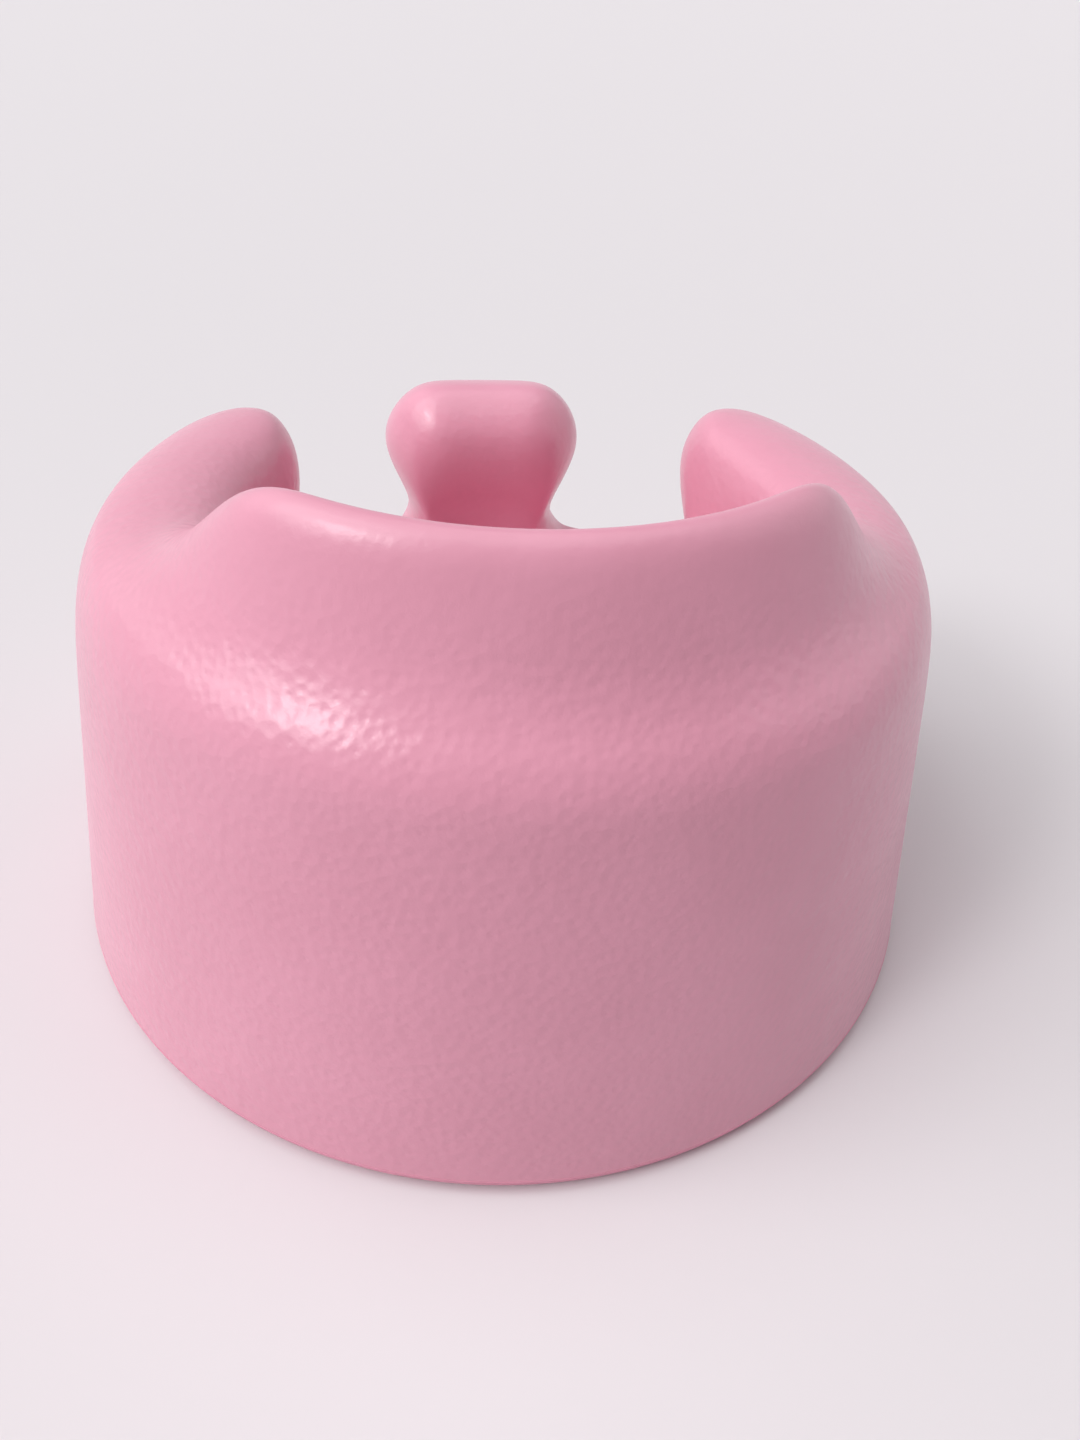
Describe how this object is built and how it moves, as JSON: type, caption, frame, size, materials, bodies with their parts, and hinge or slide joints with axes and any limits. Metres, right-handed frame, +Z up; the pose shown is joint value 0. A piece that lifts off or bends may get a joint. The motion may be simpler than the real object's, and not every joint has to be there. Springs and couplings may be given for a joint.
{
  "type": "baby floor seat",
  "caption": "Round moulded foam floor seat for a baby: raised back rest, horseshoe arms, a deep bowl, an opening for each leg and a pommel between the legs.",
  "frame": {"origin": "middle of the flat underside, on the floor", "axes": "+Z up, the child sits facing -Y, +X is the child's left"},
  "size_m": [0.378, 0.378, 0.235],
  "materials": {
    "foam": "cream, soft open-celled polyurethane foam, nowhere in view",
    "skin": "pink polyurethane coating moulded onto the foam, satin, with a very fine pebbled grain",
    "base_skin": "the same pink coating on the underside, more matt"
  },
  "bodies": {
    "root": {"foam_core": "foam", "body_skin": "skin", "base_skin": "base_skin"}
  },
  "joints": []
}
